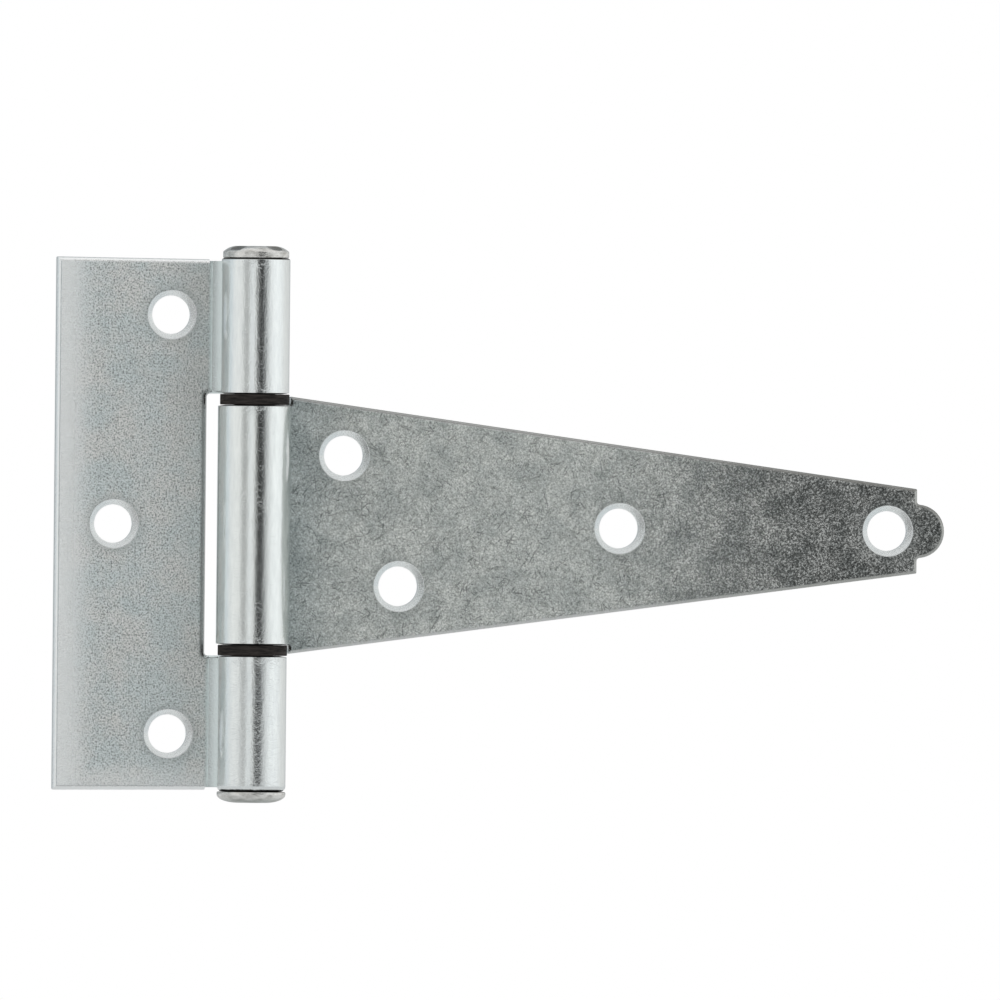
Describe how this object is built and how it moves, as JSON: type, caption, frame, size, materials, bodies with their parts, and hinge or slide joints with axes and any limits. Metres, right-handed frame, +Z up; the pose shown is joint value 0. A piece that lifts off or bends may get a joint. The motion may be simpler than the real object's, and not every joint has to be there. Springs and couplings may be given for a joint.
{
  "type": "t hinge",
  "caption": "Steel T hinge: a notched rectangular pad leaf and a long tapered strap leaf, countersunk for screws, swinging on a headed pin through rolled knuckles with washers between them.",
  "frame": {"origin": "on the common plane of both leaves' backs, straight behind the middle of the pin", "axes": "mounted position: +Z up along the pin, +X towards the strap's tip, +Y into the surface the leaves are screwed to; the barrel side faces -Y"},
  "size_m": [0.1954, 0.016, 0.1214],
  "materials": {
    "pad_zinc": "bright zinc plate with a fine matt grain",
    "strap_zinc": "zinc plate, darker and duller, speckled and finely scratched",
    "pin_zinc": "zinc plate, slightly warmer and smoother",
    "washer": "matt black-brown"
  },
  "bodies": {
    "pad": {"pad_leaf": "pad_zinc", "hinge_pin": "pin_zinc"},
    "strap": {"strap_leaf": "strap_zinc"},
    "upper_washer": {"upper_washer": "washer"},
    "lower_washer": {"lower_washer": "washer"}
  },
  "joints": [
    {"name": "strap_swing", "type": "hinge", "parent": "pad", "child": "strap", "pos_m": [0, -0.008, 0], "axis": [0, 0, -1], "range_deg": [-100, 190]},
    {"name": "upper_washer_spin", "type": "hinge", "parent": "pad", "child": "upper_washer", "pos_m": [0, -0.008, 0], "axis": [0, 0, 1], "continuous": true},
    {"name": "lower_washer_spin", "type": "hinge", "parent": "pad", "child": "lower_washer", "pos_m": [0, -0.008, 0], "axis": [0, 0, 1], "continuous": true}
  ]
}
